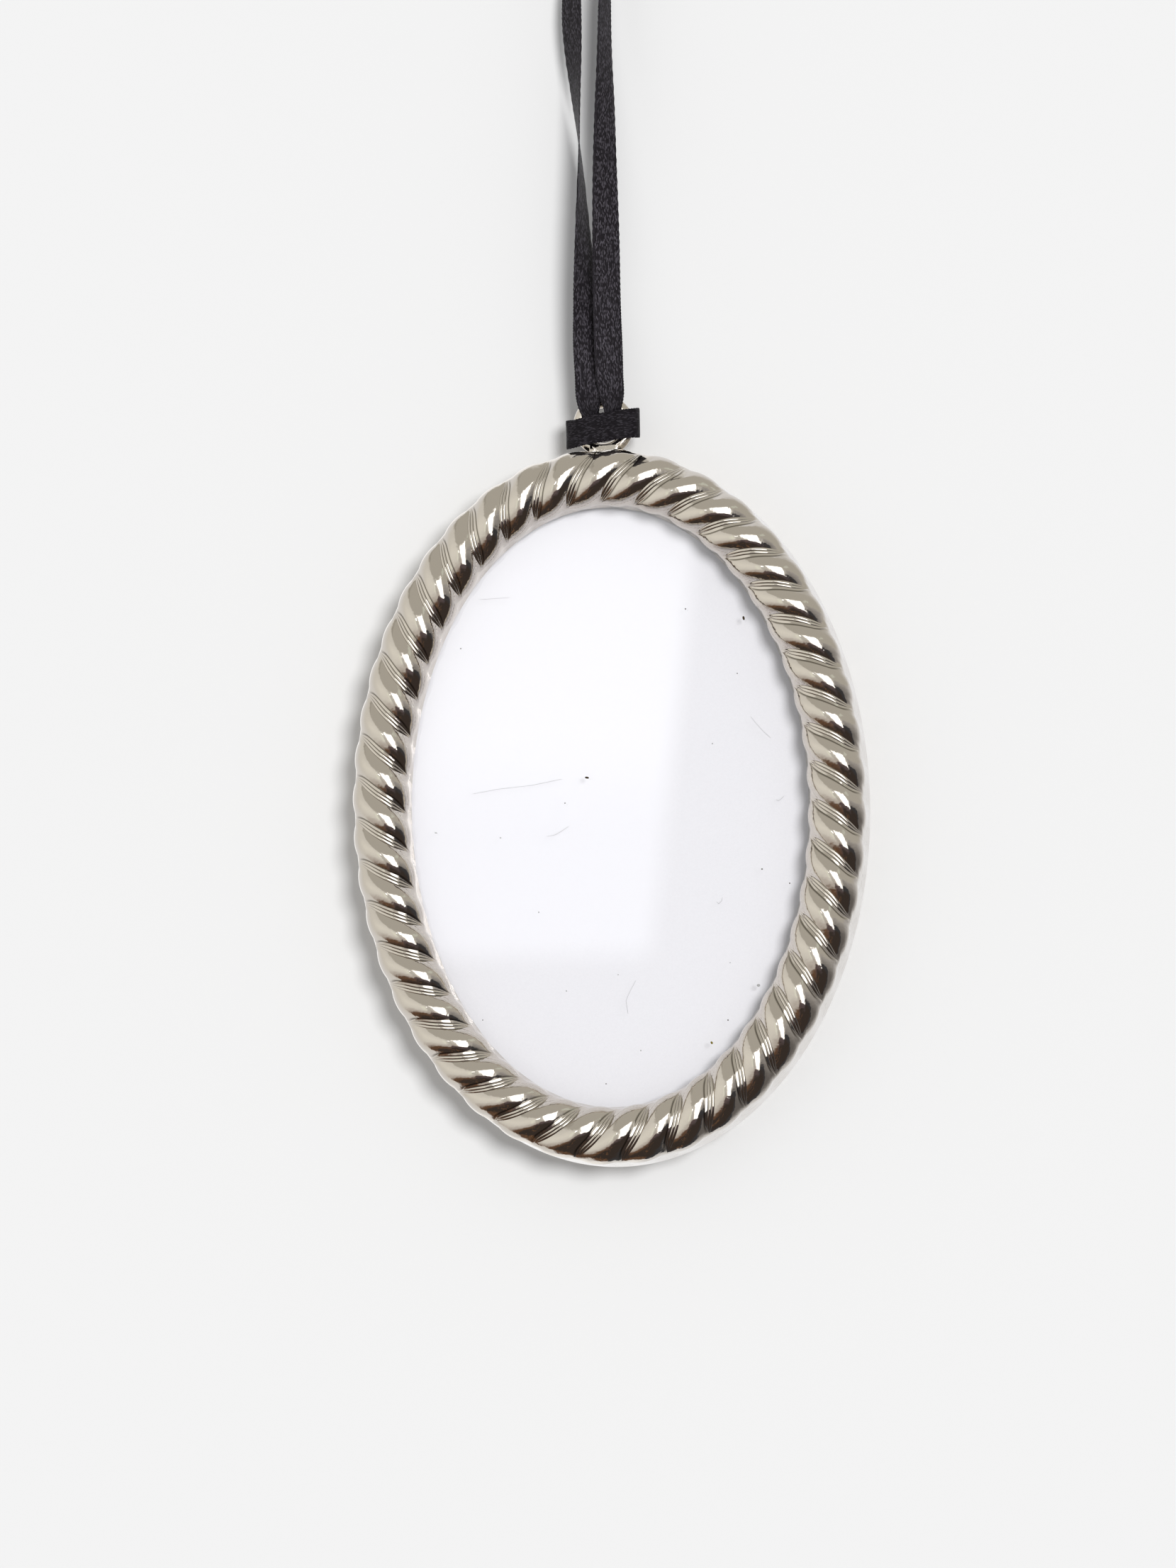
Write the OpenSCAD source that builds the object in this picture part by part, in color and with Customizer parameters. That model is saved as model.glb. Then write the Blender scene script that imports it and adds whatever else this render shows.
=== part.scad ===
// Small oval picture frame that hangs by a ribbon.
// A rope-twist casting with an eye on top holds a glass pane, a plain white card and
// a back board, which four turn clips keep in. A satin ribbon is hitched to the eye.
// The frame faces -Y and the wall is at +Y. The origin is the point inside the top of
// the ribbon's loop where it bears on its hook, and everything hangs below it.

/* [Oval] */
// Width of the casting across its rope moulding
oval_w = 57.5; // [52:0.5:80]
// Height of the casting across its rope moulding, without the eye
oval_h = 80; // [72:0.5:110]

/* [Rope moulding] */
// Width of the moulding, from the outside of the oval to the sight edge
mould_w = 6.5; // [6:0.1:8]
// Height of the rope's round above the side of the casting
rope_rise = 3; // [2.4:0.1:3.6]
// Number of twists round the oval
twists = 44; // [36:1:56]
// Depth of the groove on each side of a smooth strand
groove_depth = 0.55; // [0.3:0.05:1]
// How far the reeded strand stands below the smooth one
reed_drop = 0.4; // [0.2:0.05:0.8]
// Share of a twist that is the smooth strand; the rest is the reeded one
smooth_share = 0.64; // [0.6:0.02:0.8]
// How far each strand bulges the outline of the oval
edge_bulge = 0.15; // [0:0.05:0.3]
// How far the strands bend into a slight S, as a share of a twist
sway = 0.07; // [0:0.01:0.1]
// Power of the section's round: 1 is an ellipse, and less is squarer
round_power = 0.84; // [0.8:0.02:1]
// Distance along the oval, clockwise from its top, of the first groove
first_groove = 0.4; // [0:0.1:4.4]

/* [Back of the casting] */
// Width of the lip that the glass lies against
lip_w = 1.4; // [1:0.1:1.8]
// Thickness of that lip
lip_t = 1; // [0.8:0.1:1.6]
// Width of the outer rim, whose back touches the wall
rim_w = 1.2; // [1:0.1:1.4]
// How far the foot of the rope lies in front of the eye's middle
eye_setback = 1.7; // [1.4:0.1:2.2]

/* [Eye] */
// Radius of the hole in the eye
eye_hole_r = 1.95; // [1.8:0.05:2.2]
// Thickness of the eye's round wire
eye_wire = 1.5; // [1.2:0.1:1.8]
// Height of the eye's middle above the top of the oval
eye_lift = 2.8; // [2.4:0.1:3.2]
// Width of the foot under the eye
foot_w = 3.2; // [2.6:0.1:4]

/* [Glass, card and board] */
// Thickness of the glass
glass_t = 1.5; // [1:0.1:2]
// Thickness of the card
card_t = 0.3; // [0.2:0.05:0.6]
// Thickness of the back board, with its cloth
board_t = 1.5; // [1:0.1:2.5]
// Gap round the edge of the glass, the card and the board
edge_gap = 0.15; // [0.1:0.05:0.3]
// Gap between the pieces in the rebate, from front to back
stack_gap = 0.02; // [0.01:0.01:0.05]

/* [Turn clips] */
// Thickness of a clip's sheet
clip_t = 0.45; // [0.3:0.05:0.6]
// Width of a clip
clip_w = 2.4; // [2:0.1:2.6]
// Length of a clip from its pivot to its inner end
clip_reach = 6; // [5:0.1:7]
// Distance of a pivot from the middle line of the moulding, inwards
pivot_in = 0.1; // [0:0.05:0.3]
// Running gap round, under and over a clip
clip_gap = 0.05; // [0.03:0.01:0.1]
// Radius of a rivet's shank
rivet_r = 0.5; // [0.4:0.05:0.6]
// Radius of a rivet's head
rivet_head_r = 0.95; // [0.85:0.05:1.1]
// Height of a rivet's domed head
rivet_head_h = 0.3; // [0.2:0.05:0.4]
// How deep a rivet goes into the casting
rivet_depth = 2.6; // [2:0.1:3]
// Gap between a rivet and its hole in the casting
rivet_fit = 0.01; // [0.01:0.01:0.03]

/* [Ribbon] */
// Width of the ribbon
ribbon_w = 3.3; // [3:0.1:3.5]
// Thickness of the ribbon
ribbon_t = 0.2; // [0.16:0.02:0.24]

/* [Hidden] */

// Places from front to back
y_foot = -eye_setback;
y_lip = y_foot + lip_t;
y_glass = y_lip + stack_gap;
y_card = y_glass + glass_t + stack_gap;
y_board = y_card + card_t + stack_gap;
y_ledge = y_board + board_t + stack_gap;
y_clip = y_ledge + clip_gap;
y_head = y_clip + clip_t + clip_gap;
y_back = y_head + rivet_head_h + clip_gap;

// Places from top to bottom
HANG_DROP = 61; // from the hang point to the eye's middle, as the ribbon's route has it
eye_z = -HANG_DROP;
oval_z = eye_z - eye_lift - oval_h / 2;
eye_ring_r = eye_hole_r + eye_wire / 2;

// The middle line of the moulding is an ellipse, and angles run clockwise from its top
mid_a = (oval_w - mould_w) / 2;
mid_b = (oval_h - mould_w) / 2;
half_w = mould_w / 2;
function mid(a) = [mid_a * sin(a), mid_b * cos(a)];
function slope(a) = norm([mid_a * cos(a), mid_b * sin(a)]);
function outward(a) = [mid_b * sin(a), mid_a * cos(a)] / slope(a);

// Length of the middle line up to each angle
ARC_STEPS = 360;
arc_angle = 360 / ARC_STEPS;
arc = [for (i = 0, s = 0; i <= ARC_STEPS;
            s = s + norm(mid((i + 1) * arc_angle) - mid(i * arc_angle)), i = i + 1)
       [s, i * arc_angle]];
perimeter = arc[ARC_STEPS][0];
function angle_at(s) = lookup(s - perimeter * floor(s / perimeter), arc);

// A point of the casting, o outside the middle line, at the distance s along it
function place(s, o, y) = let (a = angle_at(s), p = mid(a) + o * outward(a)) [p.x, y, p.y + oval_z];

// Outline of a piece that lies in the rebate
OUTLINE_POINTS = 96;
function outline(o) = [for (i = [0 : OUTLINE_POINTS - 1])
    let (a = angle_at(i * perimeter / OUTLINE_POINTS)) mid(a) + o * outward(a)];
rebate_o = -half_w + lip_w;
rim_o = half_w - rim_w;

// The rope: lines along the strands at these shares of a twist, and rows across it
pitch = perimeter / twists;
strand_lines = [0, 0.18, 0.5, 0.82];
reed_lines = [0, 0.5];
lines = [for (p = strand_lines) p * smooth_share,
         for (p = reed_lines) smooth_share + p * (1 - smooth_share)];
FRONT_ROWS = 8;

// How far a line at the share p of a twist stands below the crown of the smooth strand
function sunk(p) = p < smooth_share
    ? groove_depth * (1 - pow(sin(180 * p / smooth_share), 0.7))
    : groove_depth + (reed_drop - groove_depth) * sin(180 * (p - smooth_share) / (1 - smooth_share));

// Each row is [outside the middle line, y, share of a twist it lies ahead, angle across]
front_rows = [for (j = [0 : FRONT_ROWS])
    let (t = 180 * j / FRONT_ROWS - 90)
    [half_w * sin(t), y_foot - rope_rise * pow(cos(t), round_power), t / 180 + 0.5 + sway * sin(2 * t), t]];
back_rows = [[half_w, y_back], [rim_o, y_back], [rim_o, y_ledge],
             [rebate_o, y_ledge], [rebate_o, y_lip], [-half_w, y_lip]];

// A point of a front row goes down into the groove, square to the rope's round
function front_point(s, row, p) = let (
    t = row[3],
    edge = abs(sin(t)),
    d = sunk(p) * (1 - edge) + min(sunk(p), edge_bulge) * edge)
    place(s + pitch * row[2], row[0] - d * sin(t), row[1] + d * cos(t));

module frame_casting() color([0.8, 0.78, 0.74]) difference() {
    union() {
        rope_body();
        eye();
    }
    for (k = [1 : 4]) at_pivot(k)
        translate([0, 0, y_ledge - rivet_depth]) cylinder(r = rivet_r + rivet_fit, h = rivet_depth + 1, $fn = 32);
}

// The moulding in one skin, whose lines follow the twist across the front
module rope_body() {
    n = len(lines);
    count = n * twists;
    rows = len(front_rows) + len(back_rows);
    points = [for (i = [0 : count - 1])
        let (p = lines[i % n], s = first_groove + pitch * (floor(i / n) + p))
        each [for (row = front_rows) front_point(s, row, p),
              for (row = back_rows) place(s + pitch, row[0], row[1])]];
    // The back rows lie a whole twist on, so the skin closes onto the line a twist ahead
    function at(i, j) = j < rows ? (i % count) * rows + j : ((i + n) % count) * rows;
    faces = [for (i = [0 : count - 1], j = [0 : rows - 1])
        each [[at(i, j), at(i, j + 1), at(i + 1, j)],
              [at(i + 1, j), at(i, j + 1), at(i + 1, j + 1)]]];
    polyhedron(points, faces, convexity = 8);
}

module eye() translate([0, 0, eye_z]) {
    rotate([90, 0, 0]) rotate_extrude($fn = 64) translate([eye_ring_r, 0]) circle(d = eye_wire, $fn = 24);
    translate([-foot_w / 2, -eye_wire / 2, -eye_lift - half_w / 2])
        cube([foot_w, eye_wire, eye_lift + half_w / 2 - eye_hole_r - 0.2]);
}

// Draws a piece of the rebate between two distances from the eye's middle
module in_rebate(y, t) translate([0, y + t, oval_z]) rotate([90, 0, 0])
    linear_extrude(t) polygon(outline(rebate_o - edge_gap));

module glass() color([0.85, 0.92, 0.95, 0.35]) in_rebate(y_glass, glass_t);
module card() color([0.95, 0.95, 0.97]) in_rebate(y_card, card_t);
module back_board() color([0.12, 0.12, 0.13]) in_rebate(y_board, board_t);

// Puts a part at the pivot halfway along its quarter of the oval, clockwise from the top.
// There +Z points back and +Y towards the middle of the oval.
module at_pivot(k) {
    a = angle_at(perimeter * (k - 0.5) / 4);
    pivot = mid(a) - pivot_in * outward(a);
    inward = -outward(a);
    translate([pivot.x, 0, pivot.y + oval_z]) rotate([0, atan2(inward.x, inward.y), 0]) rotate([-90, 0, 0])
        mirror([0, 1, 0]) children();
}

module clip(k) color([0.7, 0.7, 0.68]) at_pivot(k) translate([0, 0, y_clip]) difference() {
    linear_extrude(clip_t) union() {
        circle(d = clip_w, $fn = 32);
        translate([-clip_w / 2, 0]) square([clip_w, clip_reach - clip_w / 2]);
        translate([0, clip_reach - clip_w / 2]) circle(d = clip_w, $fn = 32);
    }
    translate([0, 0, -1]) cylinder(r = rivet_r + clip_gap, h = clip_t + 2, $fn = 32);
}
module clip_1() clip(1);
module clip_2() clip(2);
module clip_3() clip(3);
module clip_4() clip(4);

// A round-head rivet: its profile turned about its own axis
module rivet(k) color([0.75, 0.74, 0.7]) at_pivot(k) {
    dome_r = (pow(rivet_head_r, 2) + pow(rivet_head_h, 2)) / (2 * rivet_head_h);
    translate([0, 0, y_ledge - rivet_depth]) cylinder(r = rivet_r, h = rivet_depth + y_head - y_ledge, $fn = 32);
    translate([0, 0, y_head]) intersection() {
        translate([0, 0, rivet_head_h - dome_r]) sphere(r = dome_r, $fn = 64);
        cylinder(r = rivet_head_r, h = rivet_head_h, $fn = 32);
    }
}
module rivet_1() rivet(1);
module rivet_2() rivet(2);
module rivet_3() rivet(3);
module rivet_4() rivet(4);

// The ribbon's route, once round from the middle of the band in front of the eye. Each
// point is measured from the eye's middle: [x, y, z], the way the ribbon's width lies
// there, and the share of its full width that shows, less where it is gathered.
route = [
    [[0, -1.85, -0.4], [0, 0, 1], 1],
    [[2.2, -1.8, -0.1], [0, 0, 1], 1],
    [[3.6, -1.1, 0.1], [0, 0, 1], 1],
    [[4, 0, 0.2], [0, 0, 1], 1],
    [[3.4, 1, 0.1], [0, 0, 1], 0.9],
    [[2.2, 1.2, 0], [0, 0, 1], 0.7],
    [[1.1, 0.6, 0], [0, 0, 1], 0.6],
    [[0.75, -0.65, 0.1], [0.2, 0.5, 1], 0.4],
    [[1.1, -1.3, 1.6], [1, 0.3, 0.3], 0.6],
    [[1.1, -1.3, 3.2], [1, 0.05, 0], 0.85],
    [[0.9, -1.3, 5.5], [1, 0.2, 0], 0.95],
    [[0.8, -1.2, 9], [1, 0.35, 0], 1],
    [[0.7, -1, 14], [1, 0.45, 0], 1],
    [[0.7, -0.8, 21], [1, 0.55, 0], 1],
    [[0.7, -0.6, 29], [1, 0.9, 0], 1],
    [[0.8, -0.4, 37], [1, 1.5, 0], 1],
    [[0.9, -0.2, 45], [1, 2.7, 0], 1],
    [[1.1, -0.1, 51], [0.2, 1, 0], 1],
    [[1.4, 0, 56], [0, 1, 0], 1],
    [[1.6, 0, 59.4], [0, 1, 0], 1],
    [[1.2, 0, 60.6], [0, 1, 0], 1],
    [[0, 0, 61.1], [0, 1, 0], 1],
    [[-1.2, 0, 60.6], [0, 1, 0], 1],
    [[-1.6, 0, 59.4], [0, 1, 0], 1],
    [[-2.1, 0, 56], [-0.1, 1, 0], 1],
    [[-2.6, 0, 51.5], [-0.7, 1, 0], 1],
    [[-2.8, -0.1, 46], [-1.1, 1, 0], 1],
    [[-2.5, -0.2, 38], [-0.5, 1, 0], 1],
    [[-2.1, -0.3, 30], [0, 1, 0], 1],
    [[-1.9, -0.5, 21], [0.5, 1, 0], 1],
    [[-1.7, -0.7, 14], [1, 0.8, 0], 1],
    [[-1.6, -0.8, 9], [1, 0.35, 0], 1],
    [[-1.5, -0.9, 5.5], [1, 0.15, 0], 0.95],
    [[-1.5, -1.05, 3.2], [1, 0.05, 0], 0.9],
    [[-1.4, -1.1, 1.6], [1, 0.3, 0.3], 0.7],
    [[-0.9, -0.6, 0], [0.3, 0.5, 1], 0.4],
    [[-1.1, 0.6, -0.2], [0, 0, 1], 0.6],
    [[-2.2, 1.2, -0.3], [0, 0, 1], 0.7],
    [[-3.4, 1, -0.6], [0, 0, 1], 0.9],
    [[-4.1, 0, -0.9], [0, 0, 1], 0.95],
    [[-3.8, -1.1, -1.1], [0, 0, 1], 0.95],
    [[-2.2, -1.8, -0.8], [0, 0, 1], 0.95]];
RINGS_PER_KNOT = 2;

// A smooth curve through the knots, for places, directions and widths alike, and its slope
function knot(i, k) = route[(i + len(route)) % len(route)][k];
function along(i, u, k) = let (a = knot(i - 1, k), b = knot(i, k), c = knot(i + 1, k), d = knot(i + 2, k))
    b + u / 2 * (c - a + u * (2 * a - 5 * b + 4 * c - d + u * (3 * b - a - 3 * c + d)));
function heading(i, u) = let (a = knot(i - 1, 0), b = knot(i, 0), c = knot(i + 1, 0), d = knot(i + 2, 0))
    c - a + u * (2 * (2 * a - 5 * b + 4 * c - d) + u * 3 * (3 * b - a - 3 * c + d));
function unit(v) = v / norm(v);

// One ring of the ribbon's flat section, whose long edges are chamfered
function ribbon_ring(i, u) = let (
    ahead = unit(heading(i, u)),
    lie = along(i, u, 1),
    across = unit(lie - (lie * ahead) * ahead),
    up = cross(ahead, across),
    h = ribbon_w * along(i, u, 2) / 2,
    q = ribbon_t / 2)
    [for (p = [[h, q / 2], [h - q, q], [q - h, q], [-h, q / 2],
               [-h, -q / 2], [q - h, -q], [h - q, -q], [h, -q / 2]])
     along(i, u, 0) + p.x * across + p.y * up];

module ribbon() color([0.12, 0.11, 0.13]) translate([0, 0, eye_z]) ribbon_skin();

// The ribbon in one skin, closed on itself
module ribbon_skin() {
    rings = [for (i = [0 : len(route) - 1], k = [0 : RINGS_PER_KNOT - 1]) ribbon_ring(i, k / RINGS_PER_KNOT)];
    m = len(rings[0]);
    n = len(rings);
    function at(i, j) = (i % n) * m + j % m;
    polyhedron([for (ring = rings) each ring],
        [for (i = [0 : n - 1], j = [0 : m - 1])
         each [[at(i, j), at(i + 1, j), at(i, j + 1)],
               [at(i + 1, j), at(i + 1, j + 1), at(i, j + 1)]]], convexity = 8);
}

frame_casting();
glass();
card();
back_board();
clip_1();
clip_2();
clip_3();
clip_4();
rivet_1();
rivet_2();
rivet_3();
rivet_4();
ribbon();
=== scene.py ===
import bisect
import math

import bmesh
import bpy
from mathutils import Matrix, Vector


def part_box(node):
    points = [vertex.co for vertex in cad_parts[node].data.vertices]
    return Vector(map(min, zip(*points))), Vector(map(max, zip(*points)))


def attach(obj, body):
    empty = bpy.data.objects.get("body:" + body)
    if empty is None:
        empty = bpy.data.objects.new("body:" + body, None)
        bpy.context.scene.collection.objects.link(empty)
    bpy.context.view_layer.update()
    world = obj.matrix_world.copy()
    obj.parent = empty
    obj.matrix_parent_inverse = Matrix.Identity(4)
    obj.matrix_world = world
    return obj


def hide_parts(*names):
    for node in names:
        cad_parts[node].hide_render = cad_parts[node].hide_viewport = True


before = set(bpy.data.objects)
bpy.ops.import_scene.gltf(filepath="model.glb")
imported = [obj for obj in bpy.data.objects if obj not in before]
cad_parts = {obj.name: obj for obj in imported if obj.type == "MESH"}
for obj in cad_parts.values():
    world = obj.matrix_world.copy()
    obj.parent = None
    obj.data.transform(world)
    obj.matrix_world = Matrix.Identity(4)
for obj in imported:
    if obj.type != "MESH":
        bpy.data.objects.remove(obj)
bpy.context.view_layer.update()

# The camera has a long lens. It stands a little to the right of the frame and below it,
# and is rolled a little, because the frame hangs out of true in the picture.
mm = 0.001
glass_low, glass_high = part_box("glass")
oval_middle = (glass_low + glass_high) / 2
picture_px = (1659, 2212)
oval_middle_px = (861.2, 1138.8)
px_per_m = 12.65 / mm
camera_azimuth = math.radians(6.5)
camera_elevation = math.radians(-4.4)
camera_roll = math.radians(1)
camera_distance = 1.2

turned = (Matrix.Rotation(camera_azimuth, 4, "Z")
          @ Matrix.Rotation(math.radians(90) - camera_elevation, 4, "X")
          @ Matrix.Rotation(-camera_roll, 4, "Z"))
right, up, back = (turned.col[i].to_3d() for i in range(3))
aim = (Vector((0, 0, oval_middle.z))
       - right * (oval_middle_px[0] - picture_px[0] / 2) / px_per_m
       + up * (oval_middle_px[1] - picture_px[1] / 2) / px_per_m)
lens = bpy.data.cameras.new("camera")
lens.sensor_fit = "VERTICAL"
lens.angle_y = 2 * math.atan(picture_px[1] / px_per_m / 2 / camera_distance)
lens.clip_start = 0.01
camera = bpy.data.objects.new("camera", lens)
camera.matrix_world = Matrix.Translation(aim + back * camera_distance) @ turned
bpy.context.scene.collection.objects.link(camera)
bpy.context.scene.camera = camera

# The room is painted on the world by direction, because the plated rope mirrors all of it:
# pale walls all round, a large soft light on the right, a dim floor, and a white card that
# stands left of the camera and shows in the glass.
def set_inputs(tree, shader, inputs):
    """Gives a node's inputs values or other nodes' outputs."""
    for place, value in dict(inputs).items():
        if isinstance(value, bpy.types.NodeSocket):
            tree.links.new(value, shader.inputs[place])
        else:
            shader.inputs[place].default_value = value


def node(tree, kind, inputs=(), **settings):
    """Adds a shader node, with its settings and its inputs."""
    new = tree.nodes.new(kind)
    for name, value in settings.items():
        setattr(new, name, value)
    set_inputs(tree, new, inputs)
    return new


def calc(tree, operation, *values):
    """One step of arithmetic, on values or outputs."""
    return node(tree, "ShaderNodeMath", enumerate(values), operation=operation).outputs[0]


def rises(tree, value, start, end):
    """A mask that goes smoothly from 0 at start to 1 at end."""
    places = {"Value": value, "From Min": start, "From Max": end}
    return node(tree, "ShaderNodeMapRange", places, interpolation_type="SMOOTHSTEP").outputs[0]


def blend(tree, mask, first, second):
    """The first colour where the mask is 0, the second where it is 1."""
    mixed = node(tree, "ShaderNodeMix", {0: mask, 6: first, 7: second}, data_type="RGBA")
    return mixed.outputs[2]


def grey(value):
    """A neutral colour."""
    return (value, value, value, 1)


studio = bpy.data.worlds.new("studio")
studio.use_nodes = True
bpy.context.scene.world = studio
room = studio.node_tree
room.nodes.clear()
direction = node(room, "ShaderNodeTexCoord").outputs["Generated"]
split = node(room, "ShaderNodeSeparateXYZ", {0: direction})
toward_camera = calc(room, "MULTIPLY", split.outputs["Y"], -1.0)
azimuth = calc(room, "DEGREES", calc(room, "ARCTAN2", split.outputs["X"], toward_camera))
height = calc(room, "DEGREES", calc(room, "ARCSINE", split.outputs["Z"]))


def all_of(*masks):
    """The mask that is 1 only where all of these are."""
    product = masks[0]
    for mask in masks[1:]:
        product = calc(room, "MULTIPLY", product, mask)
    return product


def window(left, right, bottom, top, soft):
    """A soft-edged rectangle in the room, its sides in degrees of azimuth and height."""
    return all_of(rises(room, azimuth, left - soft, left + soft),
                  rises(room, azimuth, right + soft, right - soft),
                  rises(room, height, bottom - soft, bottom + soft),
                  rises(room, height, top + soft, top - soft))


def level_line(start, *steps):
    """A height that changes round the room. Each step has its rise and where it runs."""
    line = calc(room, "ADD", start, 0.0)
    for rise, first, last in steps:
        line = calc(room, "MULTIPLY_ADD", rises(room, azimuth, first, last), rise, line)
    return line


wall_behind = (0.89, 0.89, 0.9, 1)
cream_wall = (0.82, 0.8, 0.75, 1)
lit_wall = (0.96, 0.94, 0.87, 1)
shaded_wall = (0.5, 0.48, 0.46, 1)
dim_wall = (0.16, 0.15, 0.145, 1)
seen = blend(room, window(-115, 70, -75, 75, 25), wall_behind, cream_wall)
seen = blend(room, window(-85, -18, -14, 20, 20), seen, lit_wall)
on_right = rises(room, azimuth, 40.0, 60.0)
shaded_side = all_of(on_right, rises(room, azimuth, 150.0, 95.0))
seen = blend(room, shaded_side, seen, shaded_wall)
dim_side = all_of(on_right, rises(room, azimuth, 175.0, 110.0), rises(room, height, 24.0, -25.0))
seen = blend(room, dim_side, seen, dim_wall)
seen = blend(room, window(-172, -145, -70, 70, 8), seen, grey(1.15))

# The ceiling's edge comes down from the left to the soft light, with a darker line above it.
# A grey and a pale patch stand left of the light, and a gleam slopes up on its right.
ceiling_edge = level_line(46.0, (-32.0, -80.0, 0.0))
over_edge = calc(room, "SUBTRACT", height, ceiling_edge)
ceiling = (0.55, 0.53, 0.475, 1)
above = all_of(rises(room, over_edge, -4.0, 4.0), rises(room, azimuth, 165.0, 115.0),
               rises(room, azimuth, -190.0, -140.0))
seen = blend(room, above, seen, ceiling)
cornice = (0.45, 0.43, 0.38, 1)
from_line = calc(room, "ABSOLUTE", calc(room, "SUBTRACT", over_edge, 6.0))
on_line = all_of(rises(room, from_line, 5.0, 1.0), rises(room, azimuth, -50.0, -75.0),
                 rises(room, azimuth, -135.0, -110.0))
seen = blend(room, on_line, seen, cornice)
grey_patch = (0.66, 0.65, 0.6, 1)
pale_patch = (1, 1.01, 0.9, 1)
gleam = (0.72, 0.74, 0.66, 1)
seen = blend(room, window(-12, 1, -18, 16, 6), seen, grey_patch)
seen = blend(room, window(-24, -14, -16, 8, 4), seen, pale_patch)
from_gleam = calc(room, "ABSOLUTE", calc(room, "MULTIPLY_ADD", azimuth, -0.4, calc(
    room, "SUBTRACT", height, 6.0)))
on_gleam = all_of(rises(room, azimuth, 50.0, 60.0), rises(room, azimuth, 84.0, 74.0),
                  rises(room, from_gleam, 6.0, 2.0))
seen = blend(room, on_gleam, seen, gleam)

# The dim floor's edge stands highest on the right. The floor is brown on the left and black
# on the right, where a dark screen stands beside the soft light.
floor_edge = level_line(-38.0, (16.0, -20.0, 5.0), (14.0, 38.0, 50.0), (-26.0, 76.0, 95.0),
                        (-16.0, 95.0, 108.0), (-18.0, -98.0, -112.0))
over_floor = calc(room, "SUBTRACT", height, floor_edge)
skirting = (0.3, 0.22, 0.18, 1)
near_floor = all_of(rises(room, over_floor, 22.0, 4.0), rises(room, azimuth, 20.0, 0.0),
                    rises(room, azimuth, -115.0, -95.0), 0.4)
seen = blend(room, near_floor, seen, skirting)
brown_boards = (0.15, 0.085, 0.052, 1)
grey_boards = (0.13, 0.1, 0.105, 1)
black_screen = (0.055, 0.055, 0.06, 1)
floor_near = (0.052, 0.04, 0.034, 1)
lit_grain = (0.4, 0.2, 0.09, 1)
floor = blend(room, rises(room, azimuth, -35.0, 10.0), brown_boards, grey_boards)
floor = blend(room, rises(room, azimuth, 25.0, 55.0), floor, black_screen)
floor = blend(room, rises(room, over_floor, -6.0, -22.0), floor, floor_near)
patches = node(room, "ShaderNodeTexNoise", {"Vector": direction, "Scale": 9.0}).outputs[0]
streaks = all_of(rises(room, patches, 0.6, 0.72), rises(room, azimuth, 30.0, -5.0), 0.6)
floor = blend(room, streaks, floor, lit_grain)
edge_width = calc(room, "MULTIPLY_ADD", rises(room, azimuth, 20.0, -50.0), 3.0, 3.0)
under_edge = rises(room, calc(room, "DIVIDE", over_floor, edge_width), 1.0, -1.0)
seen = blend(room, under_edge, seen, floor)

# The soft light is a leaning square.
from_left = calc(room, "MULTIPLY_ADD", height, 0.45, calc(room, "SUBTRACT", azimuth, 7.5))
from_right = calc(room, "MULTIPLY_ADD", height, -0.08, calc(room, "SUBTRACT", azimuth, 43.5))
from_top = calc(room, "MULTIPLY_ADD", azimuth, -0.2, calc(room, "SUBTRACT", height, 17.0))
soft_light = all_of(rises(room, from_left, -4.0, 4.0), rises(room, from_right, 2.0, -2.0),
                    rises(room, height, -24.5, -20.5), rises(room, from_top, 3.0, -3.0))
seen = blend(room, soft_light, seen, grey(2.3))

# A white card's right and lower edges are the ones that show in the glass.
from_card_right = calc(room, "SUBTRACT", azimuth, calc(room, "MULTIPLY_ADD", height, 0.13, -6.64))
on_card = all_of(rises(room, from_card_right, 0.1, -0.1), rises(room, height, 3.38, 3.6),
                 window(-12, 5, 0, 9, 0.5))
card_light = blend(room, rises(room, height, 4.1, 4.7), (1.95, 1.97, 2.05, 1), grey(2.5))
seen = blend(room, on_card, seen, card_light)

# The lens sees the white wall itself, and every matt surface takes an even light.
path = node(room, "ShaderNodeLightPath")
wall_white = grey(0.896)
even_light = grey(0.46)
even = blend(room, path.outputs["Is Camera Ray"], even_light, wall_white)
lit = blend(room, path.outputs["Is Glossy Ray"], even, seen)
background = node(room, "ShaderNodeBackground", {"Color": lit})
node(room, "ShaderNodeOutputWorld", {"Surface": background.outputs[0]})

# The key light stands on the right and a little above, and is broad. A lamp behind the wall
# lights the back, which no picture from the front shows.
def sun(name, direction, strength, angle):
    """A distant light that shines from this direction."""
    lamp = bpy.data.lights.new(name, "SUN")
    lamp.energy = strength
    lamp.angle = math.radians(angle)
    obj = bpy.data.objects.new(name, lamp)
    obj.matrix_world = Vector(direction).to_track_quat("Z", "Y").to_matrix().to_4x4()
    obj.visible_glossy = False
    bpy.context.scene.collection.objects.link(obj)
    return obj


sun("key_light", (0.37, -0.9, 0.15), 2.07, 20)
sun("back_light", (-0.4, 0.8, 0.5), 1.5, 20)

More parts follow.
